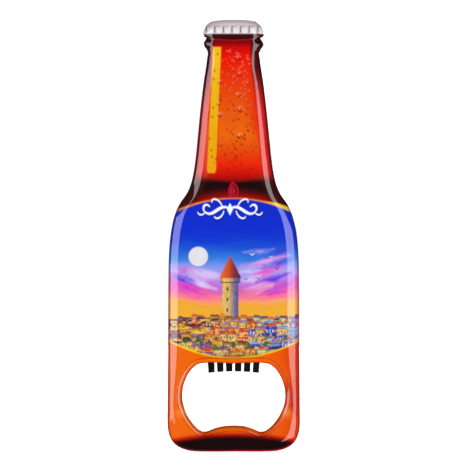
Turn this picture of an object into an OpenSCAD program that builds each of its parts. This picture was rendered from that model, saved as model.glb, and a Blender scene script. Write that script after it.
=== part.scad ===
// Souvenir cap opener in the shape of a bottle: a printed, drawn tinplate skin over a moulded core,
// with a stamped steel opener plate, a back cover and two disc magnets.
// Units are millimetres. The bottle stands along +Z, its printed front faces -Y, and its back lies in
// the plane y = 0. The origin is the centre of the back face.
// Heights in the outlines are measured from the bottom edge, and depths from the back face.

/* [Bottle outline] */
// overall height
body_h = 140; // [140:1:148]
// half width of the body
body_hw = 21.5; // [21.3:0.1:22.5]
// half width where the neck meets the cap
neck_hw = 8.5; // [8.3:0.1:9.2]
// half width of the crown cap's skirt
cap_hw = 9.8; // [9.6:0.1:10.4]

/* [Opening] */
// half width of the opening
hole_hw = 16.7; // [16.3:0.1:16.8]
// height of the opening's straight top edge above the bottom edge
hole_top = 28.6; // [28.4:0.1:29.4]
// how far the fulcrum stands up into the opening
fulcrum_h = 1.95; // [1.5:0.05:2.2]

/* [Layers] */
// overall thickness
thick = 6; // [5.8:0.1:6.6]
// sheet thickness of the skin
skin_t = 0.4; // [0.3:0.05:0.45]
// thickness of the steel opener plate
plate_t = 1.8; // [1.5:0.1:1.9]
// thickness of the back cover
cover_t = 1; // [0.8:0.1:1.1]
// thickness of the front bonding sheet
front_tape_t = 0.4; // [0.2:0.1:0.5]

/* [Rounded edges] */
// width of the rounded outer edge, where it is widest
edge_w = 4.2; // [3.8:0.1:4.3]
// depth of the rounded outer edge
edge_d = 2.6; // [2.2:0.1:2.7]
// width of the rounded edge at the opening
rim_w = 1.6; // [1.3:0.1:1.7]
// depth of the rounded edge at the opening
rim_d = 1.9; // [1.6:0.1:2]

/* [Lip] */
// number of ribs on the lip
rib_count = 7; // [5:2:7]
// rib spacing
rib_pitch = 2.95; // [2.7:0.05:3]
// rib radius
rib_r = 0.55; // [0.4:0.05:0.6]
// how far the lip stands out under the opening's top edge
lip_reach = 2.7; // [2.4:0.1:3]

/* [Magnets and rivets] */
// magnet diameter
magnet_d = 16; // [12:1:18]
// magnet thickness
magnet_t = 2.5; // [2:0.1:2.6]
// height of the lower magnet above the bottom edge
lower_magnet_z = 68; // [67:1:72]
// height of the upper magnet above the bottom edge
upper_magnet_z = 98; // [94:1:100]
// rivet shank diameter
rivet_d = 2.4; // [2:0.1:3]

/* [Hidden] */

round_fn = 48;   // more than 12, so circles export as true circles
curve_n = 9;     // points on each curved stretch of an outline
ring_n = 6;      // steps round a rolled edge

play = 0.15;                              // clearance between the skin and what it holds
fit_play = 0.1;                           // clearance of a part in its pocket in the core
rim_back = 0.2;                           // the skin's free edge stays this far off the back plane
back_tape_t = 0.15;
plate_back = cover_t + back_tape_t;       // back face of the plate and the core
plate_front = plate_back + plate_t;
skin_front = thick - skin_t;              // inner face of the skin
core_front = skin_front - front_tape_t;
edge_t = thick - edge_d;                  // depth where the outer edge starts to round
rim_t = thick - rim_d;                    // depth where the opening's edge starts to round
flange_back = plate_front + rib_r + 0.1;  // free edge of the skin's flange round the opening
cap_edge_w = 2.6;                         // width of the rounded edge round the crown cap

plate_inset = 1.6;                        // the plate's edge from the outer edge
plate_hole = 0.3;                         // the plate's hole is this much larger than the skin's
plate_top = hole_top + 26;                // the plate reaches this far up the body
plate_corner = 5;
lip_hw = (rib_count - 1) / 2 * rib_pitch + 0.25;
lip_sag = 0.6;                            // the lip's ends hang this much lower than its middle
lip_r = (lip_hw * lip_hw + lip_sag * lip_sag) / (2 * lip_sag);
rib_lean = 4.9;                           // the outermost ribs lean in by this many degrees

glue_t = 0.2;
glue_r = 6;
window_play = 0.2;                        // clearance of a magnet in its window in the cover
rivet_x = 13;
rivet_z = [hole_top + 8, plate_top - 6];
rivet_head_r = 2.2;
rivet_head_t = 0.5;
rivet_front = plate_front + 1.6;
pocket_front = plate_front + 0.9;         // floor of the core's relief pockets

shoulder = [16.1, 82.4];                  // where the shoulder turns into the neck
neck_top = body_h - 10;                   // where the neck meets the cap
hole_mid = 18;                            // height of the opening's widest place
hole_low = 6.5;                           // lowest points of the opening, at either side of the fulcrum
lobe_x = 9.3;

// A cubic curve from a to d, without its last point.
function bezier(a, b, c, d, n) = [
    for (i = [0:n - 1])
        let (t = i / n, s = 1 - t)
        s * s * s * a + 3 * s * s * t * b + 3 * s * t * t * c + t * t * t * d
];

// Right half of the bottle's outline, from the middle of the bottom edge up to the neck's top.
side_half = concat(
    [[0, 0]],
    bezier([10.4, 0], [19.7, 0], [body_hw, 3.9], [body_hw, 10.2], curve_n),
    [for (z = [10.2, 13, hole_mid, 23, 28, 33]) [body_hw - 0.2 * (z - 10.2) / 22.8, z]],
    bezier([body_hw - 0.3, 56], [body_hw - 0.3, 72.8], [19.3, 78.45], shoulder, curve_n),
    bezier(shoulder, [11.3, 88.5], [12.8, 101.1], [neck_hw + 0.2, neck_top - 3], curve_n + 2),
    [[neck_hw + 0.2, neck_top - 3]]
);

// Right half of the crown cap's outline, with heights from the neck's top: the bead, the groove, the
// flared skirt and the domed top.
cap_rows = [
    [neck_hw, 0], [cap_hw - 0.9, 0.9], [cap_hw - 0.3, 1.7], [cap_hw - 0.1, 2.6], [cap_hw - 0.6, 3.5],
    [cap_hw - 1, 4.3], [cap_hw - 0.1, 5.1], [cap_hw, 6.2], [cap_hw - 0.35, 7.3], [cap_hw - 0.75, 8],
    [cap_hw - 1.4, 8.7], [cap_hw - 2.3, 9.3], [cap_hw - 4.6, 9.8], [0, 10]
];

// Right half of the opening, from the fulcrum's middle up to the middle of the top edge.
hole_half = concat(
    bezier([0, hole_low + fulcrum_h], [6.3, hole_low + fulcrum_h], [7.6, hole_low],
           [lobe_x, hole_low], curve_n),
    bezier([lobe_x, hole_low], [11.4, hole_low], [hole_hw, 12.2], [hole_hw, hole_mid], curve_n),
    bezier([hole_hw, hole_mid], [hole_hw, 23.9], [13, hole_top], [10.4, hole_top], curve_n),
    [[10.4, hole_top], [0, hole_top]]
);

// The whole outline, anticlockwise, from a right half whose two ends lie on the centre line.
function closed(half) = concat(half, [for (i = [len(half) - 2:-1:1]) [-half[i][0], half[i][1]]]);

function unit(v) = v / norm(v);

// The step from point i of an outline that moves both of its edges in by 1.
function inward(p, i) =
    let (
        n = len(p),
        before = unit(p[i] - p[(i + n - 1) % n]),
        after = unit(p[(i + 1) % n] - p[i]),
        along = unit(before + after)
    )
    [-along[1], along[0]] / (along * after);

// An outline moved in by d, or out where d is negative.
function shifted(p, d) = [for (i = [0:len(p) - 1]) p[i] + d * inward(p, i)];

// The bottle's outline moved in to where the skin's inner face leaves room for a layer of depth t.
function inside_skin(p, t) = [
    for (i = [0:len(p) - 1])
        p[i] + (roll_in(edge_width(p[i][1]), edge_t, t) + play) * inward(p, i)
];

outer_edge = closed(concat(side_half, [for (row = cap_rows) [row[0], neck_top + row[1]]]));
hole_edge = closed(hole_half);

// The bottle without the cap's bead and skirt, for the parts that lie within the rolled edge.
inner_edge = closed(concat(side_half, [[neck_hw, neck_top], [neck_hw, body_h - 0.4], [0, body_h - 0.4]]));

// Width of the rolled edge at each height. It narrows beside the opening, up the neck and at the cap.
function edge_width(z) = lookup(z, [
    [0, 0.95 * edge_w], [8, 0.78 * edge_w], [13, 0.58 * edge_w], [hole_mid, 0.55 * edge_w],
    [23, 0.68 * edge_w], [28, 0.82 * edge_w], [36, edge_w], [80, edge_w], [95, 0.88 * edge_w],
    [neck_top - 3, 0.76 * edge_w], [neck_top, cap_edge_w]
]);

// Where the rolled edge meets the flat front. It passes the cap's bead and groove in a straight line
// and keeps a share of the cap's height.
flat_edge = closed(concat(
    [for (i = [0:len(side_half) - 1]) side_half[i] + edge_width(side_half[i][1]) * inward(outer_edge, i)],
    [for (row = cap_rows) [
        max(0, min(row[0], neck_hw) - (row[0] > 0 ? cap_edge_w : 0)),
        neck_top + row[1] * (1 - cap_edge_w / (body_h - neck_top))
    ]]
));
flat_hole = shifted(hole_edge, -rim_w);

// Outline a moved towards outline b by the share f.
function between(a, b, f) = (1 - f) * a + f * b;

// Rings of a rolled edge, as [depth, outline], from outline a at depth from to outline b at depth to.
function rolled(a, b, from, to) = [
    for (k = [0:ring_n])
        let (turn = 90 * k / ring_n)
        [from + (to - from) * sin(turn), between(a, b, 1 - cos(turn))]
];

// How far the skin's inner face lies in from its outline at depth t, on a rolled edge of width w that
// starts at the depth from.
function roll_in(w, from, t) =
    let (up = min(1, max(0, (t - from) / (skin_front - from))))
    w - (w - skin_t) * sqrt(1 - up * up);

// The points of a chain of [depth, outline] rings.
function ring_points(rings) = [for (ring = rings) for (p = ring[1]) [p[0], -ring[0], p[1] - body_h / 2]];

// The faces between neighbouring rings of a chain, whose points are numbered from first.
// Each ring has n points.
function ring_faces(rings, n, first) = [
    for (k = [0:len(rings) - 2]) for (i = [0:n - 1])
        let (a = first + k * n + i, b = first + k * n + (i + 1) % n)
        each [[a, a + n, b], [a + n, b + n, b]]
];

function reversed(list) = [for (i = [len(list) - 1:-1:0]) list[i]];

// A flat layer between two depths.
module layer(from, to) {
    translate([0, -from, -body_h / 2])
        rotate([90, 0, 0])
            linear_extrude(to - from)
                children();
}

module bottle(inset, edge = inner_edge) {
    polygon(shifted(edge, inset));
}

module opening(grow) {
    polygon(shifted(hole_edge, -grow));
}

module spots(places, r) {
    for (p = places)
        translate(p)
            circle(r, $fn = round_fn);
}

lower_magnet_at = [[0, lower_magnet_z]];
upper_magnet_at = [[0, upper_magnet_z]];
magnets_at = concat(lower_magnet_at, upper_magnet_at);
rivets_at = [for (x = [-rivet_x, rivet_x], z = rivet_z) [x, z]];

// A rectangle of width w and height h with round corners, standing on the point [0, 0].
module rounded_rect(w, h, r) {
    translate([-w / 2 + r, 0])
        square([w - 2 * r, h]);
    translate([-w / 2, r])
        square([w, h - 2 * r]);
    spots([for (x = [-w / 2 + r, w / 2 - r], z = [r, h - r]) [x, z]], r);
}

// Angle of a point round the middle of the opening, from straight down.
function turn(p) = atan2(p[0], hole_mid - p[1]);

// Triangles between points i to a_end of line a and points j to b_end of line b, each as [line, point]
// corners. Both lines run round the opening, and the one that is behind takes the next step.
function zipped(a, a_end, b, b_end, i = 0, j = 0) =
    i == a_end && j == b_end ? [] :
    let (on_a = j == b_end || (i < a_end && turn(a[i + 1]) < turn(b[j + 1])))
    concat(
        [[[0, i], on_a ? [0, i + 1] : [1, j + 1], [1, j]]],
        on_a ? zipped(a, a_end, b, b_end, i + 1, j) : zipped(a, a_end, b, b_end, i, j + 1)
    );

// The faces of a flat front at one depth, between the outline whose ring starts at outer and the
// opening whose ring starts at inner: a band round the opening, then level strips above it.
function flat_faces(outer, inner) =
    let (
        n = len(flat_edge),
        m = len(flat_hole),
        over = min([for (i = [0:n / 2]) if (flat_edge[i][1] > hole_top + rim_w) i]),
        band = zipped(flat_edge, over, flat_hole, m / 2)
    )
    concat(
        [for (face = band) [for (c = face) c[0] == 0 ? outer + c[1] : inner + c[1]]],
        [for (face = band) [
            for (c = reversed(face)) c[0] == 0 ? outer + (n - c[1]) % n : inner + (m - c[1]) % m
        ]],
        [[outer + over, outer + n - over, inner + m / 2]],
        [for (i = [over:n / 2 - 2]) [outer + i, outer + i + 1, outer + n - i - 1, outer + n - i]],
        [[outer + n / 2 - 1, outer + n / 2, outer + n / 2 + 1]]
    );

// Drawn tinplate skin, open at the back, with a flange turned back round the opening. Each chain of
// rings runs from the inner face of the flat front round the free edge to its outer face.
module front_shell() {
    skin_edge = shifted(outer_edge, skin_t);
    flange_edge = shifted(hole_edge, -skin_t);
    side = concat(
        reversed(rolled(skin_edge, flat_edge, edge_t, skin_front)),
        [[rim_back, skin_edge], [rim_back, outer_edge]],
        rolled(outer_edge, flat_edge, edge_t, thick)
    );
    flange = concat(
        reversed(rolled(flange_edge, flat_hole, rim_t, skin_front)),
        [[flange_back, flange_edge], [flange_back, hole_edge]],
        rolled(hole_edge, flat_hole, rim_t, thick)
    );
    n = len(outer_edge);
    m = len(hole_edge);
    first = n * len(side);
    inner_faces = flat_faces(0, first);
    outer_faces = flat_faces(n * (len(side) - 1), first + m * (len(flange) - 1));
    color([0.86, 0.3, 0.02])
        polyhedron(
            concat(ring_points(side), ring_points(flange)),
            concat(
                ring_faces(side, n, 0),
                [for (face = ring_faces(flange, m, first)) reversed(face)],
                inner_faces,
                [for (face = outer_faces) reversed(face)]
            ),
            convexity = 6
        );
}

// Bonding sheet between the core and the skin, above the opening.
module front_tape() {
    color([0.93, 0.93, 0.9])
        layer(core_front, skin_front)
            intersection() {
                bottle(edge_w + play);
                translate([-body_hw, hole_top + rim_w + 1])
                    square([2 * body_hw, body_h]);
            }
}

// Outline of the steel plate, without its hole.
module plate_outline(grow) {
    intersection() {
        bottle(plate_inset - grow);
        translate([0, -plate_corner])
            rounded_rect(2 * (body_hw - plate_inset + grow), plate_top + plate_corner + grow, plate_corner);
    }
}

// One layer of the core, as wide as the skin leaves it at the layer's front face.
module core_layer(from, to, edge) {
    layer(from, to)
        difference() {
            polygon(inside_skin(edge, to));
            opening(roll_in(rim_w, rim_t, to) + play);
        }
}

// Moulded core. Its front edge is stepped to follow the skin's rolled edges.
module core_frame() {
    step_t = [plate_back, edge_t + 0.6, core_front - 0.45, core_front];
    color([0.12, 0.12, 0.13])
        difference() {
            union() {
                for (k = [0:2])
                    core_layer(step_t[k], step_t[k + 1], k == 0 ? outer_edge : inner_edge);
            }
            layer(plate_back - 1, plate_front)
                plate_outline(fit_play);
            layer(plate_back - 1, magnet_t + glue_t)
                spots(magnets_at, magnet_d / 2 + fit_play);
            layer(plate_back, rivet_front + fit_play)
                spots(rivets_at, rivet_d / 2 + 0.05);
            layer(plate_back - 1, pocket_front) {
                translate([0, 79])
                    rounded_rect(20, 8, 2);
                translate([0, 109.5])
                    rounded_rect(12, 14, 2);
            }
        }
}

// The tongue under the opening's top edge. Its free edge is a shallow arc.
module lip_outline() {
    difference() {
        translate([-lip_hw, hole_top - lip_reach - lip_sag])
            square([2 * lip_hw, lip_reach + lip_sag + 0.6]);
        translate([0, hole_top - lip_reach - lip_r])
            circle(lip_r, $fn = 180);
    }
}

// Half-round ribs on the lip's front, fanned out upwards.
module lip_ribs() {
    intersection() {
        layer(plate_front - rib_r, plate_front + rib_r)
            lip_outline();
        for (i = [-(rib_count - 1) / 2:(rib_count - 1) / 2])
            translate([i * rib_pitch, -plate_front, hole_top - body_h / 2])
                rotate([0, i * 2 / (rib_count - 1) * rib_lean, 0])
                    cylinder(r = rib_r, h = 2 * lip_reach + 4, center = true, $fn = round_fn);
    }
}

// Stamped steel plate round the opening, with the fulcrum below and the ribbed lip above.
module opener_plate() {
    color([0.75, 0.76, 0.78])
        difference() {
            union() {
                layer(plate_back, plate_front) {
                    difference() {
                        plate_outline(0);
                        opening(plate_hole);
                    }
                    lip_outline();
                }
                lip_ribs();
            }
            layer(plate_back - 1, plate_front + 1)
                spots(rivets_at, rivet_d / 2 + 0.05);
            layer(plate_back - 1, plate_back + rivet_head_t)
                spots(rivets_at, rivet_head_r + 0.1);
        }
}

// Four rivets, headed at the plate's back and closed in the core.
module plate_rivets() {
    color([0.8, 0.8, 0.82]) {
        layer(plate_back, plate_back + rivet_head_t)
            spots(rivets_at, rivet_head_r);
        layer(plate_back + rivet_head_t, rivet_front)
            spots(rivets_at, rivet_d / 2);
    }
}

// Bonding sheet between the core and the back cover.
module back_tape() {
    color([0.95, 0.94, 0.88])
        layer(cover_t, plate_back)
            difference() {
                bottle(1.5);
                opening(1.5);
                spots(magnets_at, magnet_d / 2 + 0.6);
            }
}

// Back sheet with a window for each magnet.
module back_cover() {
    color([0.1, 0.1, 0.11])
        layer(0, cover_t)
            difference() {
                bottle(skin_t + play, outer_edge);
                opening(skin_t + play);
                spots(magnets_at, magnet_d / 2 + window_play);
            }
}

module magnet(places) {
    color([0.25, 0.25, 0.27])
        layer(0, magnet_t)
            spots(places, magnet_d / 2);
}

module upper_magnet() {
    magnet(upper_magnet_at);
}

module lower_magnet() {
    magnet(lower_magnet_at);
}

// A glue dot in front of each magnet.
module magnet_glue() {
    color([0.9, 0.88, 0.75])
        layer(magnet_t, magnet_t + glue_t)
            spots(magnets_at, glue_r);
}

front_shell();
front_tape();
core_frame();
opener_plate();
plate_rivets();
back_tape();
back_cover();
upper_magnet();
lower_magnet();
magnet_glue();
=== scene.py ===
"""Souvenir cap opener in the shape of a bottle: print, materials, light and camera on the CAD frame."""
import math

import bpy
import numpy as np
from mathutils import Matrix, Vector
from mathutils.geometry import delaunay_2d_cdt
from mathutils.kdtree import KDTree


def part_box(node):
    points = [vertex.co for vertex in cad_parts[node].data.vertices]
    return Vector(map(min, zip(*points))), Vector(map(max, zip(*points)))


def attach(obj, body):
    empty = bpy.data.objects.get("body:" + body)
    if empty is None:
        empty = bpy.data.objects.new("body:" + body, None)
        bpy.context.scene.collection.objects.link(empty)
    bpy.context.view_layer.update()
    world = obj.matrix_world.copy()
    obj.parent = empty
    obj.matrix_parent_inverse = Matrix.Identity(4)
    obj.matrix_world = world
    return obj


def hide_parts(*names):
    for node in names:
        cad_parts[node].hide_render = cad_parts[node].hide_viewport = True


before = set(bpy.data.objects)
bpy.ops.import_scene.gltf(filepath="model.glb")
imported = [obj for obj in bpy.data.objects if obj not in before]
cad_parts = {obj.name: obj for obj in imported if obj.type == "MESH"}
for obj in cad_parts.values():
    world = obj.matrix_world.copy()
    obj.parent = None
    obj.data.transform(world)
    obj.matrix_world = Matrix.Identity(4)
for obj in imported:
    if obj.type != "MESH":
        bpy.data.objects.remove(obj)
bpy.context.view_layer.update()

MM = 0.001
MICRONS = 1000      # micrometres in a mm
PITCH = 0.24        # mm between the points that carry the print
CLEAR = 0.6         # share of PITCH that keeps grid points off the outlines
ROLL_STEPS = 18     # steps round the skin's outer rolled edge
RIM_STEPS = 9       # steps round the opening's rolled edge
SOFT = 0.2          # mm over which a printed edge fades
LATTICE = 64        # cells along each side of the noise before it repeats
FAR = 1e9           # farther than any distance in the picture

LOW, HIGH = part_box("front_shell")
HEIGHT = (HIGH.z - LOW.z) / MM
FRONT = -LOW.y / MM


# ---------------------------------------------------------------- the skin's shape, read from the CAD

def spot(point):
    """A CAD vertex in whole micrometres, so that split corners compare as equal."""
    return tuple(round(c / MM * MICRONS) for c in point)


def level_faces(node):
    """A CAD node's faces that lie across the depth, as {depth in micrometres: [corners of each face]}."""
    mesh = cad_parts[node].data
    levels = {}
    for face in mesh.polygons:
        corners = [spot(mesh.vertices[i].co) for i in face.vertices]
        if len({c[1] for c in corners}) == 1:
            levels.setdefault(-corners[0][1], []).append(corners)
    return levels


def cad_rims(faces):
    """The outlines of the faces at one depth, tallest first.

    Each outline is an array of [x, z] in mm, with z from the bottom edge. It starts at the bottom of
    the centre line and runs anticlockwise as seen from the front.
    """
    sides = set()
    for corners in faces:
        for side in zip(corners, corners[1:] + corners[:1]):
            sides ^= {frozenset(side)}
    beside = {}
    for a, b in sides:
        beside.setdefault(a, set()).add(b)
        beside.setdefault(b, set()).add(a)
    rims = []
    while beside:
        rim = [next(iter(beside))]
        while beside.get(rim[-1]):
            rim.append(beside[rim[-1]].pop())
            beside[rim[-1]].discard(rim[-2])
        beside = {point: left for point, left in beside.items() if left}
        rims.append(started_low(np.array([
            [p[0] / MICRONS, p[2] / MICRONS + HEIGHT / 2] for p in rim[:-1]
        ])))
    return sorted(rims, key=lambda rim: -np.ptp(rim[:, 1]))


def started_low(points):
    """A closed outline turned anticlockwise and started at the bottom of the centre line."""
    after = np.roll(points, -1, axis=0)
    if np.sum(points[:, 0] * after[:, 1] - after[:, 0] * points[:, 1]) < 0:
        points = points[::-1]
    off_centre = 1000      # outweighs any height
    first = np.argmin(np.abs(points[:, 0]) * off_centre + points[:, 1])
    return np.roll(points, -first, axis=0)


def deepest_start(node, point):
    """The depth in mm at which the wall that stands on an outline's point begins to roll over."""
    at = (round(point[0] * MICRONS), round((point[1] - HEIGHT / 2) * MICRONS))
    found = {spot(v.co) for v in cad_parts[node].data.vertices}
    return max(-p[1] / MICRONS for p in found if (p[0], p[2]) == at)


def steps_along(points):
    """How many print points each stretch of a closed outline takes."""
    lengths = np.linalg.norm(np.roll(points, -1, axis=0) - points, axis=1)
    return np.maximum(1, np.round(lengths / PITCH)).astype(int)


def smooth_closed(points, steps):
    """A smooth closed curve through points, with steps[i] samples from point i to the next."""
    after = np.roll(points, -1, axis=0)
    length = np.linalg.norm(after - points, axis=1)[:, None]
    slope = (after - points) / length
    slope_before, length_before = np.roll(slope, 1, axis=0), np.roll(length, 1, axis=0)
    tangent = (slope_before * length + slope * length_before) / (length + length_before)
    samples = []
    for i, count in enumerate(steps):
        t = (np.arange(count) / count)[:, None]
        j = (i + 1) % len(points)
        samples.append(
            (2 * t**3 - 3 * t**2 + 1) * points[i]
            + (t**3 - 2 * t**2 + t) * length[i] * tangent[i]
            + (3 * t**2 - 2 * t**3) * points[j]
            + (t**3 - t**2) * length[i] * tangent[j]
        )
    return np.vstack(samples)


def rolled(outer, flat, start, end, steps):
    """Rings of a rolled edge as (outline, depth): from outer at depth start to flat at depth end."""
    turns = np.linspace(0, math.pi / 2, steps + 1)
    return [
        (outer + (1 - math.cos(turn)) * (flat - outer), start + (end - start) * math.sin(turn))
        for turn in turns
    ]


class Mesh:
    """Points and faces gathered ring by ring."""

    def __init__(self):
        self.points = []
        self.faces = []
        self.bare = []      # faces of bare tin, without print

    def ring(self, outline, depth):
        """Adds a closed ring of points and returns their numbers."""
        first = len(self.points)
        self.points += [(x * MM, -depth * MM, (z - HEIGHT / 2) * MM) for x, z in outline]
        return list(range(first, len(self.points)))

    def band(self, lower, upper, bare=False):
        """Joins two rings of equal count by a strip of faces."""
        for a, b, c, d in zip(lower, lower[1:] + lower[:1], upper[1:] + upper[:1], upper):
            if bare:
                self.bare.append(len(self.faces))
            self.faces.append((a, b, c, d))

    def chain(self, rings, bare=False):
        """Adds (outline, depth) rings and joins each to the next. Returns every ring's numbers."""
        numbers = [self.ring(outline, depth) for outline, depth in rings]
        for lower, upper in zip(numbers, numbers[1:]):
            self.band(lower, upper, bare)
        return numbers


def inside(points, outline):
    """Which points lie inside a closed outline."""
    x, z = points[:, 0], points[:, 1]
    found = np.zeros(len(points), bool)
    for (ax, az), (bx, bz) in zip(outline, np.roll(outline, -1, axis=0)):
        if az != bz:
            found ^= ((az > z) != (bz > z)) & (x < (bx - ax) * (z - az) / (bz - az) + ax)
    return found


def grid_inside(edge, hole):
    """Print points on a triangular grid between the flat face's edge and its hole."""
    low, high = edge.min(axis=0), edge.max(axis=0)
    columns = np.arange(low[0], high[0], PITCH)
    rows = np.arange(low[1], high[1], PITCH * math.sqrt(3) / 2)
    x, z = np.meshgrid(columns, rows)
    x = x + (np.arange(len(rows)) % 2)[:, None] * PITCH / 2
    points = np.column_stack([x.ravel(), z.ravel()])
    points = points[inside(points, edge) & ~inside(points, hole)]
    rims = KDTree(len(edge) + len(hole))
    for i, (px, pz) in enumerate(np.vstack([edge, hole])):
        rims.insert((px, pz, 0), i)
    rims.balance()
    return points[[rims.find((px, pz, 0))[2] > PITCH * CLEAR for px, pz in points]]


def flat_face(mesh, edge_ring, hole_ring, edge, hole):
    """Fills the flat front between two rings with print points."""
    grid = grid_inside(edge, hole)
    spots = [Vector(p) for p in np.vstack([edge, hole, grid])]
    numbers = edge_ring + hole_ring + mesh.ring(grid, FRONT)
    joins = []
    first = 0
    for count in (len(edge), len(hole)):
        joins += [(first + i, first + (i + 1) % count) for i in range(count)]
        first += count
    result = delaunay_2d_cdt(spots, joins, [], 0, 1e-6)
    points, faces, origins = result[0], result[2], result[3]
    middles = np.array([np.mean([points[i] for i in face], axis=0) for face in faces])
    keep = inside(middles, edge) & ~inside(middles, hole)
    for face, kept in zip(faces, keep):
        if kept:
            mesh.faces.append(tuple(numbers[origins[i][0]] for i in face))


def skin_mesh():
    """The printed tin skin: rolled edge, flat front, rolled rim round the opening, and bare cut edges."""
    levels = level_faces("front_shell")
    edge_back, flange_back = sorted(levels)[:2]
    outer, inner = cad_rims(levels[edge_back])
    flange, hole = cad_rims(levels[flange_back])
    flat_edge, flat_hole = cad_rims(levels[max(levels)])
    edge_back, flange_back = edge_back / MICRONS, flange_back / MICRONS
    edge_start = deepest_start("front_shell", outer[0])
    rim_start = deepest_start("front_shell", hole[0])

    edge_steps, hole_steps = steps_along(outer), steps_along(flat_hole)
    outer, inner, flat_edge = (smooth_closed(p, edge_steps) for p in (outer, inner, flat_edge))
    flange, hole, flat_hole = (smooth_closed(p, hole_steps) for p in (flange, hole, flat_hole))

    mesh = Mesh()
    sides = np.linspace(edge_back, edge_start, 4)[:-1]
    roll = rolled(outer, flat_edge, edge_start, FRONT, ROLL_STEPS)
    edge_rings = mesh.chain([(outer, depth) for depth in sides] + roll)
    mesh.chain([(inner, edge_start), (inner, edge_back), (outer, edge_back)], bare=True)

    rim = rolled(hole, flat_hole, rim_start, FRONT, RIM_STEPS)
    rim_rings = mesh.chain([(hole, flange_back)] + rim)
    mesh.chain([(flange, rim_start), (flange, flange_back), (hole, flange_back)], bare=True)

    flat_face(mesh, edge_rings[-1], rim_rings[-1], flat_edge, flat_hole)
    return mesh, outer, hole


# ---------------------------------------------------------------- painting the print

def linear(colour):
    """An sRGB colour, 0 to 255, as linear values 0 to 1."""
    c = np.asarray(colour, float) / 255
    return np.where(c <= 0.04045, c / 12.92, ((c + 0.055) / 1.055) ** 2.4)


def blend(value, stops):
    """The sRGB colour at each value, from a list of (value, colour) stops."""
    at = [s[0] for s in stops]
    return np.column_stack([np.interp(value, at, [s[1][k] for s in stops]) for k in range(3)])


def noise(u, v, seed):
    """Smooth noise from 0 to 1 on a wrapped lattice with one cell per unit."""
    cells = np.random.default_rng(seed).random((LATTICE, LATTICE))
    i, j = np.floor(u).astype(int), np.floor(v).astype(int)
    a, b = u - i, v - j
    a, b = a * a * (3 - 2 * a), b * b * (3 - 2 * b)
    i, j = i % LATTICE, j % LATTICE
    right, up = (i + 1) % LATTICE, (j + 1) % LATTICE
    near = cells[i, j] * (1 - a) + cells[right, j] * a
    far = cells[i, up] * (1 - a) + cells[right, up] * a
    return near * (1 - b) + far * b


def fade(value, start, end):
    """A smooth step: 0 at start, 1 at end."""
    t = np.clip((value - start) / (end - start), 0, 1)
    return t * t * (3 - 2 * t)


class Picture:
    """The colour of the print at points x, z in mm, with painted highlights and shade, painted from the
    ground up.
    """

    def __init__(self, x, z):
        self.x = x
        self.z = z
        self.ink_and_painted_light = np.zeros((len(x), 3))

    def paint(self, colour, cover=1.0):
        """Lays a colour, or one colour a point, over the picture where cover is above 0."""
        cover = np.broadcast_to(cover, self.x.shape)[:, None]
        self.ink_and_painted_light += cover * (linear(colour) - self.ink_and_painted_light)

    def wavering(self, reach, cell, seed):
        """The same ink under wavering coordinates, so that straight edges look hand painted."""
        aside = reach * (noise(self.x / cell, self.z / cell, seed) - 0.5)
        along = reach * (noise(self.x / cell, self.z / cell, seed + 1) - 0.5)
        shifted = Picture(self.x + aside, self.z + along)
        shifted.ink_and_painted_light = self.ink_and_painted_light
        return shifted

    def within(self, distance, soft=SOFT):
        """Cover from a signed distance in mm, negative inside."""
        return np.clip(0.5 - distance / soft, 0, 1)

    def disc(self, x, z, radius, soft=SOFT):
        """Cover of a disc round x, z."""
        return self.within(np.hypot(self.x - x, self.z - z) - radius, soft)

    def box(self, left, right, low, high, soft=SOFT):
        """Cover of an upright rectangle."""
        aside = np.maximum(left - self.x, self.x - right)
        return self.within(np.maximum(aside, np.maximum(low - self.z, self.z - high)), soft)

    def shape(self, *corners, soft=SOFT):
        """Cover of a convex shape with its corners in anticlockwise order."""
        outside = np.full(len(self.x), -FAR)
        for (ax, az), (bx, bz) in zip(corners, corners[1:] + corners[:1]):
            size = math.hypot(bx - ax, bz - az)
            outside = np.maximum(outside, ((self.x - ax) * (bz - az) - (self.z - az) * (bx - ax)) / size)
        return self.within(outside, soft)

    def stroke(self, points, width, soft=SOFT):
        """Cover of a line through points; width is one width or one for each point."""
        widths = np.broadcast_to(width, len(points))
        nearest = np.full(len(self.x), FAR)
        for (ax, az), (bx, bz), wa, wb in zip(points, points[1:], widths, widths[1:]):
            size = (bx - ax) ** 2 + (bz - az) ** 2
            t = np.clip(((self.x - ax) * (bx - ax) + (self.z - az) * (bz - az)) / size, 0, 1)
            away = np.hypot(self.x - ax - t * (bx - ax), self.z - az - t * (bz - az))
            nearest = np.minimum(nearest, away - (wa + t * (wb - wa)) / 2)
        return self.within(nearest, soft)


def curve(start, pull_a, pull_b, end, steps=14):
    """Points on a Bezier curve."""
    t = np.linspace(0, 1, steps)[:, None]
    a, b, c, d = (np.array(p, float) for p in (start, pull_a, pull_b, end))
    found = (1 - t)**3 * a + 3 * (1 - t)**2 * t * b + 3 * (1 - t) * t**2 * c + t**3 * d
    return [tuple(p) for p in found]


def label_top(x):
    """Height in mm of the label's upper border."""
    return 82.0 - 4.0 * (x / 18) ** 2


def label_bottom(x):
    """Height in mm of the label's lower border."""
    return 30.5 + 4.3 * (x / 18.5) ** 2


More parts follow.
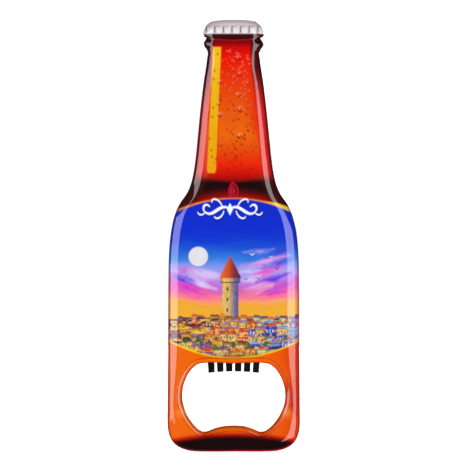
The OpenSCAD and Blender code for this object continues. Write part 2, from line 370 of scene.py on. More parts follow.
def paint_glass(p, edge):
    """The bottle's amber glass: dark shoulders and a glowing foot. edge is the distance to the side."""
    p.paint((24, 5, 9))
    above = p.z - label_top(p.x)
    shoulder = [
        (0.2, (200, 60, 14)), (0.5, (176, 26, 8)), (1.0, (134, 9, 3)), (2.2, (92, 6, 6)), (3.8, (28, 5, 9)),
    ]
    p.paint(blend(above, shoulder), fade(above, 4.2, 3.6))
    drift = (noise(p.x / 5, p.z / 5, 3) - 0.5) * 4
    p.paint((58, 14, 10), fade(edge, 5.2, 3.2) * fade(p.z, 74, 77) * fade(p.z, 90, 87) * 0.85)
    foot = blend(p.x + drift, [
        (-20, (226, 96, 20)), (-14, (228, 96, 2)), (8, (230, 96, 1)), (16, (222, 82, 4)), (20, (196, 46, 8)),
    ])
    p.paint(foot, fade(p.z, 40, 34))


def paint_base(p):
    """The dark base under a red glow, bounded by a low arch, and painted highlights beside the opening's rim.
    """
    arch = 4.9 - 1.7 * (p.x / 18) ** 2
    above = p.z - arch
    glow = [
        (-0.6, (20, 4, 4)), (0.0, (64, 5, 5)), (0.5, (140, 14, 4)), (1.1, (196, 40, 5)), (1.9, (220, 90, 8)),
    ]
    p.paint(blend(above, glow), fade(above, 2.6, 1.2))
    # painted highlights on the orange beside the opening's rolled rim, left and right
    for side in (-1, 1):
        p.paint((252, 158, 60), p.disc(side * 17.2, 12.8, 1.3, 2.2) * 0.45)


def neck_half(z):
    """Half width in mm of the neck's glowing panel, left and right of the centre line."""
    left = np.interp(z, [86, 90, 110, 131], [10.6, 9.9, 8.1, 6.9])
    right = np.interp(z, [86, 90, 100, 110, 131], [10.2, 9.4, 8.0, 6.8, 5.4])
    return left, right


def paint_neck(p, edge):
    """The neck's glowing panel, its yellow streak, its dark red sides and a painted highlight down its left.
    """
    sides = blend(edge, [(0, (70, 6, 12)), (0.7, (128, 8, 12)), (1.3, (204, 30, 30)), (3.2, (214, 40, 20))])
    p.paint(sides, fade(p.z, 87, 91))
    p.paint((50, 5, 8), fade(p.z, 110, 126) * 0.92)
    left, right = neck_half(p.z)
    shade = [
        (87, (120, 4, 4)), (89.5, (190, 10, 7)), (93, (227, 35, 4)), (97, (222, 68, 4)),
        (102.5, (229, 100, 10)), (114, (226, 76, 5)), (123, (228, 41, 6)), (128, (231, 16, 2)),
        (131, (201, 0, 3)), (132.6, (120, 2, 6)),
    ]
    inside_x = np.maximum(-left - p.x, p.x - right)
    floor = 87.4 + 2.3 * (p.x / 9) ** 2
    p.paint(blend(p.z, shade), p.within(np.maximum(inside_x, floor - p.z), 1.2))
    flank = fade(inside_x, -3.2, -0.6) * fade(inside_x, 0.6, 0)
    p.paint((224, 36, 6), flank * p.box(0, 10, 102, 122, 6) * 0.6)
    # painted highlight down the left of the neck panel
    painted_left_highlight = fade(np.abs(inside_x + 0.9), 1.0, 0.2) * (p.x < 0)
    p.paint((224, 84, 66), painted_left_highlight * 0.55 * fade(p.z, 124, 112) * fade(p.z, 88, 92))
    streak = p.shape((-8.6, 91.0), (-8.2, 90.3), (-6.2, 90.3), (-5.8, 91.0), (-4.1, 131.0), (-6.55, 131.0))
    border = p.shape((-8.8, 90.8), (-8.3, 90.0), (-6.0, 90.0), (-5.5, 90.8), (-3.8, 131.1), (-6.8, 131.1),
                     soft=0.4)
    p.paint((206, 70, 6), border * 0.7)
    p.paint(blend(p.z, [(90, (228, 154, 9)), (112, (232, 172, 18)), (131, (238, 188, 24))]), streak)


def drop(p, x, z, size, shadow, light):
    """One bead of water: a dark rim below, a light crescent above and a spark."""
    ring = p.disc(x, z, size, 0.35) - p.disc(x, z, size * 0.62, 0.35)
    p.paint(shadow, np.clip(ring, 0, 1) * fade(p.z - z, size * 0.5, -size * 0.4) * 0.75)
    p.paint(light, np.clip(ring, 0, 1) * fade(p.z - z, -size * 0.2, size * 0.7) * 0.6)
    p.paint((252, 180, 140), p.disc(x - size * 0.3, z + size * 0.2, size * 0.26, 0.3) * 0.6)


def paint_drops(p):
    """Water beads on the glowing panel: large ones placed, small ones scattered by a fixed draw."""
    for x, z, size in [(1.5, 127.5, 0.9), (2.0, 122.4, 0.8), (1.5, 115.6, 0.85), (2.0, 111.0, 1.05),
                       (2.0, 102.4, 1.0), (-4.4, 119.8, 0.75), (-4.9, 112.8, 0.75), (-4.4, 109.2, 0.9),
                       (-4.4, 99.6, 0.8), (4.8, 126.8, 0.5), (4.4, 119.4, 0.5)]:
        drop(p, x, z, size, (130, 20, 6), (246, 132, 96))
    scatter = np.random.default_rng(8)
    small_drops = 150
    for z in np.linspace(91.5, 130, small_drops):
        left, right = neck_half(z)
        x = scatter.uniform(-left + 3, right - 0.6)
        size = scatter.uniform(0.16, 0.42)
        warm = scatter.uniform(104, 118) < z
        tone = (246, 118, 82) if warm else (112, 18, 6)
        p.paint((140, 20, 6), p.disc(x + 0.15, z - 0.25, size, 0.3) * (0.4 if warm else 0.2))
        p.paint(tone, p.disc(x, z, size, 0.3) * 0.46)
    for z, x in [(128.7, -5.2), (123.4, -6.2), (120.6, -6.4), (111.4, -6.6), (108.4, -6.9), (101.4, -7.7),
                 (97.6, -7.2), (95.6, -7.0)]:
        p.paint((96, 56, 6), p.disc(x, z, 0.3, 0.3) * 0.8)


def paint_cap(p):
    """The crown cap's light tin with seven flutes, and the dark glass ring under it."""
    p.paint((53, 6, 3), p.box(-12, 12, 133.2, 135.6, 0.5))
    p.paint((40, 4, 8), p.box(-12, 12, 131.6, 133.2, 0.6) * fade(np.abs(p.x), 5.4, 7.4))
    p.paint((166, 4, 34), p.stroke([(-6.6, 133.5), (0, 133.1), (6.4, 133.5)], 0.42))
    p.paint((216, 202, 205), p.box(-12, 12, 135.3, 141))
    p.paint(blend(np.abs(p.x), [(0, (222, 208, 210)), (6, (214, 198, 201)), (9.5, (178, 166, 166))]),
            p.box(-12, 12, 137.8, 141, 0.5))
    flutes, first_flute, flute_pitch = 7, -7.75, 2.77
    for i in range(flutes):
        middle = first_flute + flute_pitch * i
        p.paint((222, 214, 218), p.box(middle - 0.8, middle + 1.1, 135.5, 137.6, 0.3))
        p.paint((240, 238, 240), p.box(middle - 0.6, middle + 1.0, 135.4, 136.6, 0.5) * 0.7)
        p.paint((104, 98, 112), p.box(middle - 1.3, middle - 0.9, 135.7, 137.8, 0.25))
        p.paint((134, 126, 134), p.box(middle - 1.1, middle + 0.5, 137.5, 137.8, 0.25) * 0.8)
    p.paint((96, 70, 72), p.box(-12, 12, 135.0, 135.35, 0.25) * 0.8)


def paint_ornament(p):
    """A plain crimson leaf on the shoulder."""
    stem = -0.35
    for side in (-1, 1):
        outline = curve((stem, 81.7), (side * 2.2, 83.2), (side * 1.6, 86), (stem, 87.2))
        p.paint((180, 14, 44), p.stroke(outline, 0.5))
    leaf = p.shape((stem, 82.0), (stem + 0.9, 84.4), (stem, 87.0), (stem - 0.9, 84.4), soft=0.4)
    p.paint((196, 22, 52), leaf)
    p.paint((60, 4, 16), p.stroke([(stem, 82.4), (stem, 86.6)], 0.22))


def brush(p, colour, start, end, width):
    """One feathered brush stroke of cloud, widest in its middle, with bristle marks that rise outwards."""
    across = p.z - 0.28 * np.abs(p.x)
    wave = 1.3 * (noise(p.x / 3.4, across, 61) - 0.5)
    middle = ((start[0] + end[0]) / 2, (start[1] + end[1]) / 2 - 0.15)
    widths = [0.2 * width, width, 0.3 * width]
    cover = Picture(p.x + wave, p.z + wave).stroke([start, middle, end], widths, 0.8 * width)
    p.paint(colour, cover * (0.5 + 0.5 * fade(noise(p.x / 2.2, across * 2.2, 63), 0.25, 0.6)))


def paint_sky(p):
    """Deep blue above, an orange horizon below, and strokes of cloud that rise to both sides."""
    level = p.z - 0.1 * np.abs(p.x) * fade(p.z, 66, 58) + 1.8 * (noise(p.x / 5, p.z / 2, 11) - 0.5)
    p.paint(blend(level, [
        (44, (230, 166, 48)), (46.4, (228, 162, 50)), (47.8, (238, 154, 92)), (49.2, (236, 126, 138)),
        (51.2, (214, 96, 172)), (54, (184, 104, 206)), (56.5, (176, 150, 224)), (59.5, (120, 144, 226)),
        (62, (52, 118, 214)), (65.5, (30, 88, 205)), (68.5, (16, 56, 200)), (72, (13, 44, 198)),
        (82, (13, 40, 194)),
    ]))
    violet, magenta, lilac, rose = (88, 54, 214), (214, 38, 186), (208, 188, 236), (240, 96, 156)
    for colour, start, end, width in [
        (magenta, (-19.5, 59.8), (-13.0, 57.9), 1.5), (violet, (-18.8, 57.4), (-12.5, 54.6), 2.2),
        (lilac, (-15.0, 58.2), (-3.5, 57.0), 2.8), (magenta, (-18.8, 54.4), (-9.0, 50.8), 2.4),
        (lilac, (-14.5, 56.4), (-5.5, 53.0), 2.0), (rose, (-18.0, 50.8), (-6.5, 49.4), 1.6),
        ((140, 144, 228), (3.0, 64.4), (12.5, 65.4), 1.5), ((56, 62, 204), (11.0, 63.0), (19.0, 66.6), 2.6),
        ((222, 150, 224), (2.5, 59.9), (18.0, 63.6), 2.0), (violet, (9.5, 59.8), (19.0, 62.6), 1.8),
        (lilac, (1.5, 58.2), (9.0, 59.2), 1.8), ((238, 40, 186), (6.0, 57.2), (15.5, 60.0), 2.0),
        (lilac, (3.0, 55.2), (8.5, 56.4), 2.0), (violet, (7.0, 54.4), (18.5, 57.8), 1.9),
        ((236, 176, 214), (3.8, 52.6), (12.5, 54.0), 2.0), ((168, 60, 214), (10.5, 52.0), (18.5, 54.6), 1.8),
        (magenta, (7.5, 50.4), (16.5, 52.2), 1.3), (rose, (4.5, 49.3), (18.0, 50.6), 1.4),
        ((236, 160, 110), (4.5, 48.2), (18.0, 48.8), 1.4),
    ]:
        brush(p, colour, start, end, width)


def paint_moon_and_birds(p):
    """A plain full moon, and a loose flock scattered by a fixed draw."""
    moon = (-11.45, 63.3)
    p.paint((222, 220, 224), p.disc(*moon, 3.12, 0.3))
    p.paint((206, 208, 220), p.disc(*moon, 2.9, 0.6) * noise(p.x * 1.2, p.z * 1.2, 5) * 0.5)
    dice = np.random.default_rng(3)
    for x in np.linspace(4, 14, 6):
        z = dice.uniform(55, 66)
        span = dice.uniform(0.5, 1.0)
        tone = (216, 222, 246) if z > 61 else (70, 44, 92)
        p.paint(tone, p.stroke([(x - span, z + span * 0.5), (x, z - 0.1), (x + span, z + span * 0.6)],
                               [0.12, 0.42 * span, 0.12], 0.3))


def paint_tower(p):
    """A plain round tower of no real place: a smooth shaft, a corbel ring and a tiled cone."""
    middle, foot, eaves, top = -1.1, 42.6, 56, 63.6
    shaft_half, ring_half, roof_half = 2.6, 3.1, 3.6
    stone = blend(p.x, [(-4.2, (156, 112, 60)), (-3.4, (218, 184, 98)), (-1.6, (208, 168, 98)),
                        (0.2, (124, 106, 132)), (1.8, (48, 72, 142))])
    stone = np.clip(stone + (noise(p.x * 2.6, p.z * 2, 31) - 0.5)[:, None] * 30, 0, 255)
    p.paint(stone, p.box(middle - shaft_half, middle + shaft_half, foot, eaves))
    p.paint(stone, p.box(middle - ring_half, middle + ring_half, 55, 56.4))
    p.paint((74, 44, 60), p.stroke([(middle - ring_half, 54.9), (middle + ring_half, 54.9)], 0.3))
    tile = blend(p.x, [
        (-4.6, (222, 104, 48)), (-1.8, (200, 78, 36)), (0.2, (128, 44, 54)), (2.4, (82, 36, 72)),
    ])
    p.paint(tile, p.shape((middle - roof_half, 56.3), (middle + roof_half, 56.3), (middle, top)))
    for sill in (45.4, 48.8, 52.2):
        p.paint((58, 40, 52), p.box(middle - 1.2, middle - 0.7, sill, sill + 1.2))


def house(p, left, right, low, eaves, rise, wall, roof, windows, glass):
    """A house: a wall that darkens to the right and under the eaves, a pitched roof and rows of windows."""
    shade = (96, 40, 60)
    p.paint((54, 22, 38), p.box(left - 0.15, right + 0.25, low, eaves + 0.1, 0.35) * 0.85)
    front = p.box(left, right, low, eaves)
    p.paint(wall, front)
    p.paint(shade, front * fade(p.x, left + 0.6 * (right - left), right) * 0.65)
    p.paint(shade, front * fade(p.z, eaves - 0.9, eaves - 0.1) * 0.7)
    pitch = min(rise, 0.4 * (right - left))
    slope = p.shape((left - 0.15, eaves - 0.12), (right + 0.2, eaves - 0.12),
                    (right - pitch, eaves + rise), (left + pitch * 0.6, eaves + rise))
    p.paint(roof, slope)
    gutter = p.stroke([(left, eaves + 0.05), (right, eaves + 0.05)], 0.12, 0.3)
    p.paint((255, 226, 160), slope * gutter * 0.3)
    columns, rows = windows
    for i in range(columns):
        for j in range(rows):
            x = left + (right - left) * (i + 0.5) / columns
            z = low + (eaves - low - 0.3) * (j + 0.5) / rows
            p.paint(glass, p.box(x - 0.2, x + 0.2, z - 0.36, z + 0.36) * 0.85)


CREAM = (226, 194, 118)
GOLD = (226, 168, 30)
PEACH = (228, 152, 88)
ORANGE = (232, 112, 30)
TILE = (204, 66, 20)
BROWN = (130, 58, 26)
PLUM = (78, 26, 62)
NIGHT = (50, 42, 104)
MAUVE = (140, 100, 150)
BLUE = (18, 84, 204)
SKY = (98, 150, 214)
PALE = (208, 210, 150)
GREEN = (40, 100, 36)


def paint_roofscape(p):
    """Small houses in rows that grow towards the near one: warm to the left, cooler to the right."""
    dice = np.random.default_rng(17)
    walls = {"left": [CREAM, GOLD, PLUM, PEACH, MAUVE], "middle": [CREAM, GOLD, PEACH, ORANGE, CREAM],
             "right": [BLUE, SKY, CREAM, PALE, BLUE]}
    roofs = {"left": [BROWN, PLUM, GOLD, TILE], "middle": [TILE, ORANGE, BROWN, MAUVE],
             "right": [TILE, MAUVE, NIGHT, SKY]}
    side, skyline, rows = 20.8, 43.6, 7
    for row in range(rows):
        eaves = skyline - 1.5 * row - 0.13 * row ** 2
        x = -side + 0.7 * (row % 2)
        near = 1 + 0.16 * row
        while x < side:
            part = "left" if x < -7 else "middle" if x < 4.5 else "right"
            width = near * dice.uniform(1.6, 3.0)
            top = eaves + dice.uniform(-0.6, 0.7)
            wall = walls[part][dice.integers(len(walls[part]))]
            roof = roofs[part][dice.integers(len(roofs[part]))]
            glass = (240, 222, 170) if wall in (PLUM, BLUE, ORANGE) else (110, 60, 60)
            house(p, x, x + width, top - 3.8 * near, top, near * dice.uniform(0.4, 0.8), wall, roof,
                  (max(1, round(width / 0.9)), 2 + row // 3), glass)
            x += width


def paint_town(p):
    """A made-up town under the tower: rows of small houses, with a few trees between them."""
    p.paint((104, 54, 48), p.within(p.z - 43.4, 0.4))
    paint_roofscape(p)
    dice = np.random.default_rng(23)
    trees, spread = 7, 16
    for place in np.linspace(-spread, spread, trees):
        x = place + dice.uniform(-1, 1)
        z = dice.uniform(32.5, 38)
        p.paint(GREEN, p.disc(x, z, dice.uniform(0.7, 1.3), 0.6) * 0.9)
    town = fade(p.z, 44, 42.6)
    p.paint((56, 24, 44), town * fade(noise(p.x / 0.9, p.z / 0.7, 84), 0.6, 0.9) * 0.55)
    p.paint((250, 222, 140), town * fade(noise(p.x / 0.8, p.z / 0.6, 85), 0.66, 0.95) * 0.5)
    p.paint((96, 62, 60), fade(p.z, 32.3, 31.2) * p.box(-9, 12, 29, 33, 2) * 0.5)


def paint_border(p):
    """The label's gold borders."""
    thick = 0.3 + 0.45 * (p.x / 18) ** 2 + 0.5 * fade(p.x, 9, 14)
    above = np.abs(p.z - label_top(p.x) - thick / 2 + 0.1) - thick / 2
    gold = blend(p.x, [
        (-18, (214, 118, 20)), (-12, (232, 140, 50)), (0, (214, 120, 60)), (11, (226, 150, 70)),
        (13, (238, 190, 30)), (18, (240, 196, 30)),
    ])
    p.paint(gold, p.within(above, 0.35))
    below = np.abs(p.z - label_bottom(p.x)) - 0.24
    p.paint(blend(np.abs(p.x), [(0, (206, 140, 36)), (8, (224, 184, 24)), (18, (232, 206, 16))]),
            p.within(below, 0.35))


def paint_flourish(p):
    """A plain symmetric scroll at the top of the label, where such souvenirs carry a word."""
    middle = -1.2
    pieces = [
        (curve((middle, 78.6), (-4.5, 81.2), (-6.5, 75.4), (-9.2, 77.6)), 1.0),
        (curve((-9.2, 77.6), (-10.8, 79.2), (-8.8, 81.0), (-7.8, 79.4)), 0.7),
        (curve((-3.6, 79.2), (-4.6, 82.6), (-7.6, 82.2), (-7.0, 80.8)), 0.55),
        (curve((-3.2, 78.0), (-3.8, 75.4), (-6.0, 75.2), (-6.2, 76.2)), 0.55),
        (curve((-9.3, 77.5), (-10.2, 76.4), (-11.2, 76.6), (-11.6, 77.6)), 0.5),
    ]
    shade = np.zeros(len(p.x))
    white = np.zeros(len(p.x))
    for points, width in pieces:
        for side in (1, -1):
            line = [(middle + side * (x - middle), z) for x, z in points]
            taper = width * (0.35 + 0.65 * np.sin(np.linspace(0.25, math.pi - 0.25, len(line))))
            white = np.maximum(white, p.stroke(line, taper))
            shade = np.maximum(shade, p.stroke([(x + 0.25, z - 0.3) for x, z in line], taper + 0.3, 0.6))
    white = np.maximum(white, p.shape((middle, 76.6), (middle + 1, 78.6), (middle, 80.6), (middle - 1, 78.6)))
    p.paint((8, 20, 110), shade * 0.5)
    p.paint((236, 240, 252), white)


def paint_label(p):
    """The label: evening sky, moon, tower and town, kept inside the borders."""
    edge = np.maximum(label_bottom(p.x) - p.z, p.z - label_top(p.x))
    ground = p.ink_and_painted_light.copy()
    paint_sky(p)
    paint_moon_and_birds(p)
    paint_tower(p)
    paint_town(p.wavering(reach=0.28, cell=1.0, seed=81))
    label = p.within(edge)[:, None]
    p.ink_and_painted_light[:] = ground * (1 - label) + p.ink_and_painted_light * label


def distance_to(points, outline):
    """Distance in mm from each [x, z] to an outline's points."""
    tree = KDTree(len(outline))
    for i, (x, z) in enumerate(outline):
        tree.insert((x, z, 0), i)
    tree.balance()
    return np.array([tree.find((x, z, 0))[2] for x, z in points])


def paint_edge_shade(p, edge, rim):
    """Painted shade on the rolled edges: a dark line along the side, red low down, blue beside the sky and
    dark above, and one at the opening.
    """
    line = np.where(p.x[:, None] < 0, (128, 14, 26), (176, 8, 38))
    for colour, share in [
        ((26, 28, 94), fade(p.z, 54, 64) * fade(p.z, 80, 78)),
        ((44, 4, 8), fade(p.z, 78, 80)),
        ((112, 12, 16), fade(p.z, 90, 96) * fade(p.z, 122, 112)),
    ]:
        line = line + (np.array(colour) - line) * share[:, None]
    # painted shade along the rolled outer edge
    p.paint(line, fade(edge, 0.95, 0.2) * 0.8 * fade(p.z, 134, 131))
    # painted shade at the opening's rolled rim
    p.paint((150, 14, 10), fade(rim, 0.55, 0.1) * 0.8)


def printed(points, outer, hole):
    """The print's linear colour at each [x, z] point, with its painted highlights and painted shade on the
    rolled edges.
    """
    p = Picture(points[:, 0], points[:, 1])
    edge, rim = distance_to(points, outer), distance_to(points, hole)
    paint_glass(p, edge)
    paint_base(p)
    paint_neck(p, edge)
    paint_drops(p)
    paint_cap(p)
    paint_ornament(p)
    paint_label(p)
    paint_border(p)
    paint_flourish(p)
    paint_edge_shade(p, edge, rim)
    return p.ink_and_painted_light


# ---------------------------------------------------------------- materials

def material(name, **values):
    """A Principled material and its shader node, with constant values set straight on the sockets."""
    made = bpy.data.materials.new(name)
    made.use_nodes = True
    shader = made.node_tree.nodes["Principled BSDF"]
    for key, value in values.items():
        shader.inputs[key.replace("_", " ")].default_value = value
    return made, shader


NOISE_LOW, NOISE_HIGH = 0.3, 0.7      # noise values that are stretched to a material's full spread


def noise_node(made, scale, detail=4.0, coordinate="Object"):
    """A noise texture in the object's own coordinates."""
    nodes, links = made.node_tree.nodes, made.node_tree.links
    where = nodes.new("ShaderNodeTexCoord")
    found = nodes.new("ShaderNodeTexNoise")
    found.inputs["Scale"].default_value = scale
    found.inputs["Detail"].default_value = detail
    links.new(where.outputs[coordinate], found.inputs["Vector"])
    return found


def vary(made, shader, socket, source, low, high):
    """Lets a shader value follow a noise between low and high."""
    nodes, links = made.node_tree.nodes, made.node_tree.links
    spread = nodes.new("ShaderNodeMapRange")
    spread.inputs["From Min"].default_value = NOISE_LOW
    spread.inputs["From Max"].default_value = NOISE_HIGH
    spread.inputs["To Min"].default_value = low
    spread.inputs["To Max"].default_value = high
    links.new(source.outputs["Fac"], spread.inputs["Value"])
    links.new(spread.outputs["Result"], shader.inputs[socket])


def tint(made, shader, source, dark, light):
    """Mixes the base colour between two linear colours by a noise."""
    nodes, links = made.node_tree.nodes, made.node_tree.links
    ramp = nodes.new("ShaderNodeValToRGB")
    for stop, place, colour in zip(ramp.color_ramp.elements, (NOISE_LOW, NOISE_HIGH), (dark, light)):
        stop.position = place
        stop.color = (*colour, 1)
    links.new(source.outputs["Fac"], ramp.inputs["Fac"])
    links.new(ramp.outputs["Color"], shader.inputs["Base Color"])


def bump(made, shader, source, depth_mm, strength=1.0):
    """Raises the surface by a noise, to a depth in mm."""
    nodes, links = made.node_tree.nodes, made.node_tree.links
    relief = nodes.new("ShaderNodeBump")
    relief.inputs["Strength"].default_value = strength
    relief.inputs["Distance"].default_value = depth_mm * MM
    links.new(source.outputs["Fac"], relief.inputs["Height"])
    links.new(relief.outputs["Normal"], shader.inputs["Normal"])


def lacquered_print_with_painted_light():
    """Ink, with painted highlights and painted shade, under a clear glossy lacquer."""
    made, shader = material("lacquered_print_with_painted_light", Roughness=0.5, Specular_IOR_Level=0.0, Coat_Weight=1.0,
                            Coat_Roughness=0.03, Coat_IOR=1.6)
    ink_and_painted_light = made.node_tree.nodes.new("ShaderNodeAttribute")
    ink_and_painted_light.attribute_name = "ink_and_painted_light"
    made.node_tree.links.new(ink_and_painted_light.outputs["Color"], shader.inputs["Base Color"])
    vary(made, shader, "Roughness", noise_node(made, 60), 0.42, 0.58)
    vary(made, shader, "Coat Roughness", noise_node(made, 140), 0.02, 0.05)
    return made


def bare_tin():
    """The skin's cut edges and inner side."""
    made, shader = material("bare_tin", Metallic=1.0, Roughness=0.35)
    grain = noise_node(made, 900)
    tint(made, shader, grain, (0.42, 0.42, 0.43), (0.62, 0.62, 0.63))
    vary(made, shader, "Roughness", grain, 0.28, 0.45)
    bump(made, shader, grain, 0.01)
    return made


def black_plastic():
    """Matt moulded plastic of the back cover."""
    made, shader = material("black_plastic", Roughness=0.55, Specular_IOR_Level=0.4)
    cloud = noise_node(made, 500)
    tint(made, shader, cloud, (0.012, 0.012, 0.013), (0.017, 0.017, 0.018))
    vary(made, shader, "Roughness", cloud, 0.45, 0.65)
    bump(made, shader, noise_node(made, 2600, 2.0), 0.02, 0.6)
    return made


def core_plastic():
    """Dark moulded plastic of the core, seen at the sides."""
    made, shader = material("core_plastic", Roughness=0.5)
    cloud = noise_node(made, 200)
    tint(made, shader, cloud, (0.016, 0.016, 0.018), (0.03, 0.03, 0.032))
    vary(made, shader, "Roughness", cloud, 0.4, 0.6)
    bump(made, shader, noise_node(made, 1800, 2.0), 0.015, 0.5)
    return made


def ferrite():
    """Grey sintered magnets."""
    made, shader = material("ferrite", Roughness=0.5, Specular_IOR_Level=0.5)
    cloud = noise_node(made, 350, 6.0)
    tint(made, shader, cloud, (0.055, 0.056, 0.06), (0.10, 0.10, 0.105))
    vary(made, shader, "Roughness", cloud, 0.35, 0.6)
    bump(made, shader, noise_node(made, 1500), 0.02, 0.6)
    return made


def plate_with_painted_reflections():
    """Steel plate with painted reflections: near black in its recesses, near white on its raised ribs."""
    made, shader = material("opener_steel", Metallic=1.0, Roughness=0.4)
    nodes, links = made.node_tree.nodes, made.node_tree.links
    rib_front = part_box("opener_plate")[0].y
    painted_shine_from, painted_shine_full = 0.42, 0.30      # mm behind the ribs' front, where the painted reflection turns from dark to bright
    where = nodes.new("ShaderNodeTexCoord")
    split = nodes.new("ShaderNodeSeparateXYZ")
    links.new(where.outputs["Object"], split.inputs["Vector"])
    raised = nodes.new("ShaderNodeMapRange")
    raised.inputs["From Min"].default_value = rib_front + painted_shine_from * MM
    raised.inputs["From Max"].default_value = rib_front + painted_shine_full * MM
    links.new(split.outputs["Y"], raised.inputs["Value"])
    # painted reflection: near black for the recesses, near white for the raised ribs
    mix = nodes.new("ShaderNodeMix")
    mix.data_type = "RGBA"
    mix.inputs["A"].default_value = (0.012, 0.011, 0.010, 1)
    mix.inputs["B"].default_value = (0.94, 0.94, 0.95, 1)
    links.new(raised.outputs["Result"], mix.inputs["Factor"])
    links.new(mix.outputs["Result"], shader.inputs["Base Color"])
    grain = noise_node(made, 500)
    vary(made, shader, "Roughness", grain, 0.34, 0.5)
    bump(made, shader, grain, 0.01, 0.4)
    return made


def plain_steel(name, dark, light):
    """Zinc plated steel."""
    made, shader = material(name, Metallic=1.0, Roughness=0.35)
    grain = noise_node(made, 700)
    tint(made, shader, grain, dark, light)
    vary(made, shader, "Roughness", grain, 0.3, 0.45)
    bump(made, shader, grain, 0.01, 0.5)
    return made


def soft_film(name, dark, light):
    """Foam tape, film tape or cured glue."""
    made, shader = material(name, Roughness=0.7)
    cloud = noise_node(made, 400)
    tint(made, shader, cloud, dark, light)
    vary(made, shader, "Roughness", cloud, 0.6, 0.85)
    bump(made, shader, cloud, 0.03, 0.5)
    return made


# ---------------------------------------------------------------- pieces

def build_skin():
    """The printed skin, in place of the CAD's faceted one."""
    gathered, outer, hole = skin_mesh()
    data = bpy.data.meshes.new("printed_skin")
    data.from_pydata(gathered.points, [], gathered.faces)
    data.materials.append(lacquered_print_with_painted_light())
    data.materials.append(bare_tin())
    slots = np.zeros(len(gathered.faces), np.int32)
    slots[gathered.bare] = 1
    data.polygons.foreach_set("material_index", slots)
    data.polygons.foreach_set("use_smooth", np.ones(len(gathered.faces), bool))
    places = np.array(gathered.points)[:, [0, 2]] / MM + (0, HEIGHT / 2)
    colours = np.column_stack([printed(places, outer, hole), np.ones(len(places))])
    # the print's colours together with its painted highlights and painted shade
    ink_and_painted_light = data.color_attributes.new("ink_and_painted_light", "FLOAT_COLOR", "POINT")
    ink_and_painted_light.data.foreach_set("color", colours.astype(np.float32).ravel())
    data.update()
    skin = bpy.data.objects.new("printed_skin", data)
    bpy.context.scene.collection.objects.link(skin)
    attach(skin, "root")
    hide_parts("front_shell")


def dress_nodes():
    """Materials for the CAD nodes that stay in view."""
    magnets = ferrite()
    finishes = {
        "back_cover": black_plastic(),
        "core_frame": core_plastic(),
        # steel plate with painted reflections, dark in the recesses and bright on the ribs
        "opener_plate": plate_with_painted_reflections(),
        "upper_magnet": magnets,
        "lower_magnet": magnets,
        "plate_rivets": plain_steel("rivet_steel", (0.5, 0.5, 0.5), (0.7, 0.7, 0.7)),
        "front_tape": soft_film("foam_tape", (0.55, 0.55, 0.53), (0.7, 0.7, 0.68)),
        "back_tape": soft_film("film_tape", (0.3, 0.3, 0.28), (0.4, 0.4, 0.38)),
        "magnet_glue": soft_film("glue", (0.55, 0.5, 0.4), (0.7, 0.66, 0.55)),
    }
    for node, finish in finishes.items():
        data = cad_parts[node].data
        data.materials.clear()
        data.materials.append(finish)


# ---------------------------------------------------------------- stage

def around(azimuth, distance, height):
    """A point round the object; azimuth 0 is straight in front, 90 is to the right of the camera."""
    a = math.radians(azimuth)
    return Vector((distance * math.sin(a), -distance * math.cos(a), height))


def face_centre(obj):
    """Turns an object's -Z axis towards the middle of the opener."""
    obj.rotation_euler = (-obj.location).to_track_quat("-Z", "Y").to_euler()


def glow_card(name, strips, strength, distance):
    """A curved white card round the object that only shows in reflections.

    strips lists (azimuth, lowest, highest) along the card, in degrees and metres.
    """
    points = [around(azimuth, distance, z) for azimuth, low, high in strips for z in (low, high)]
    faces = [(2 * i, 2 * i + 2, 2 * i + 3, 2 * i + 1) for i in range(len(strips) - 1)]
    data = bpy.data.meshes.new(name)
    data.from_pydata(points, [], faces)
    made = bpy.data.materials.new(name)
    made.use_nodes = True
    nodes, links = made.node_tree.nodes, made.node_tree.links
    nodes.clear()
    glow = nodes.new("ShaderNodeEmission")
    glow.inputs["Strength"].default_value = strength
    out = nodes.new("ShaderNodeOutputMaterial")
    links.new(glow.outputs["Emission"], out.inputs["Surface"])
    data.materials.append(made)
    card = bpy.data.objects.new(name, data)
    bpy.context.scene.collection.objects.link(card)
    card.visible_camera = False
    card.visible_diffuse = False
    card.visible_shadow = False
    card.visible_transmission = False
    return card


def soft_light(name, azimuth, height, size, power, distance=1.6, glossy=False):
    """An area light aimed at the object."""
    data = bpy.data.lights.new(name, "AREA")
    data.shape = "SQUARE"
    data.size = size
    data.energy = power
    light = bpy.data.objects.new(name, data)
    light.location = around(azimuth, distance, height)
    face_centre(light)
    light.visible_glossy = glossy
    bpy.context.scene.collection.objects.link(light)
    return light


def build_floor():
    """A white floor that the opener stands on; it doesn't show in the lacquer."""
    half = 0.6          # metres from the middle to each side
    corners = [(-half, -half, LOW.z), (half, -half, LOW.z), (half, half, LOW.z), (-half, half, LOW.z)]
    data = bpy.data.meshes.new("floor")
    data.from_pydata(corners, [], [(0, 1, 2, 3)])
    made, shader = material("floor_white", Roughness=0.9, Specular_IOR_Level=0.0)
    shader.inputs["Base Color"].default_value = (0.86, 0.86, 0.86, 1)
    shader.inputs["Emission Color"].default_value = (1, 1, 1, 1)
    shader.inputs["Emission Strength"].default_value = 0.75
    cloud = noise_node(made, 3, coordinate="Generated")
    vary(made, shader, "Roughness", cloud, 0.85, 0.95)
    data.materials.append(made)
    floor = bpy.data.objects.new("floor", data)
    floor.visible_glossy = False
    bpy.context.scene.collection.objects.link(floor)
    return floor


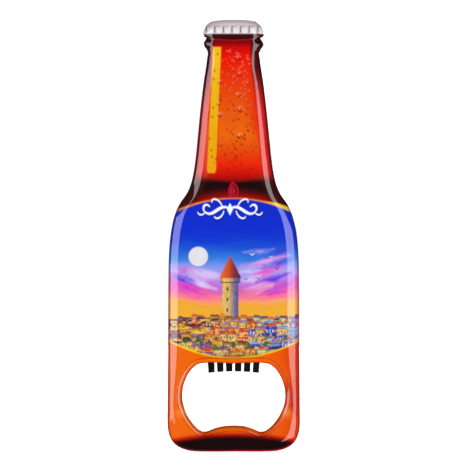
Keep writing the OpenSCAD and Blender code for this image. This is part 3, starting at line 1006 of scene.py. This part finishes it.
def build_world():
    """White behind the object for the camera, dim for everything else."""
    world = bpy.data.worlds.new("studio")
    world.use_nodes = True
    nodes, links = world.node_tree.nodes, world.node_tree.links
    nodes.clear()
    path = nodes.new("ShaderNodeLightPath")
    level = nodes.new("ShaderNodeMapRange")
    for_lighting, for_camera = 0.05, 1.05
    level.inputs["To Min"].default_value = for_lighting
    level.inputs["To Max"].default_value = for_camera
    sky = nodes.new("ShaderNodeBackground")
    out = nodes.new("ShaderNodeOutputWorld")
    links.new(path.outputs["Is Camera Ray"], level.inputs["Value"])
    links.new(level.outputs["Result"], sky.inputs["Strength"])
    links.new(sky.outputs["Background"], out.inputs["Surface"])
    sky.inputs["Color"].default_value = (1, 1, 1, 1)
    bpy.context.scene.world = world


def build_lights():
    """Two soft keys in front, two behind, and the cards that the rolled edges mirror.

    The right card stands close and slopes down outwards, so the neck mirrors less of it than the body.
    """
    right = [(11, 0.15), (20, 0.13), (29, 0.11), (36, 0.09), (45, 0.062), (54, 0.056), (61, 0.05)]
    left = np.linspace(-81, -22, 7)
    return [
        soft_light("key_left", -42, 0.5, 1.2, 12.4),
        soft_light("key_right", 42, 0.5, 1.2, 12.4),
        soft_light("back_left", -150, 0.8, 0.9, 22),
        soft_light("back_right", 155, 0.6, 0.9, 18, glossy=True),
        glow_card("card_right", [(azimuth, -0.25, high) for azimuth, high in right], 3.7, 0.34),
        glow_card("card_left", [(azimuth, -0.4, 0.6) for azimuth in left], 3.6, 2.0),
    ]


def build_camera():
    """A long lens, square on to the front, just off the middle of the picture."""
    data = bpy.data.cameras.new("camera")
    data.lens = 150
    data.clip_start = 0.05
    camera = bpy.data.objects.new("camera", data)
    aside, away, up = 0.00042, 0.639, 0.00024      # metres from the middle of the back
    camera.location = (aside, -away, up)
    camera.rotation_euler = (math.radians(90), 0, 0)
    bpy.context.scene.collection.objects.link(camera)
    bpy.context.scene.camera = camera


build_skin()
dress_nodes()
build_world()
build_camera()
build_floor()
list(build_lights())
bpy.context.scene.view_settings.view_transform = "Standard"
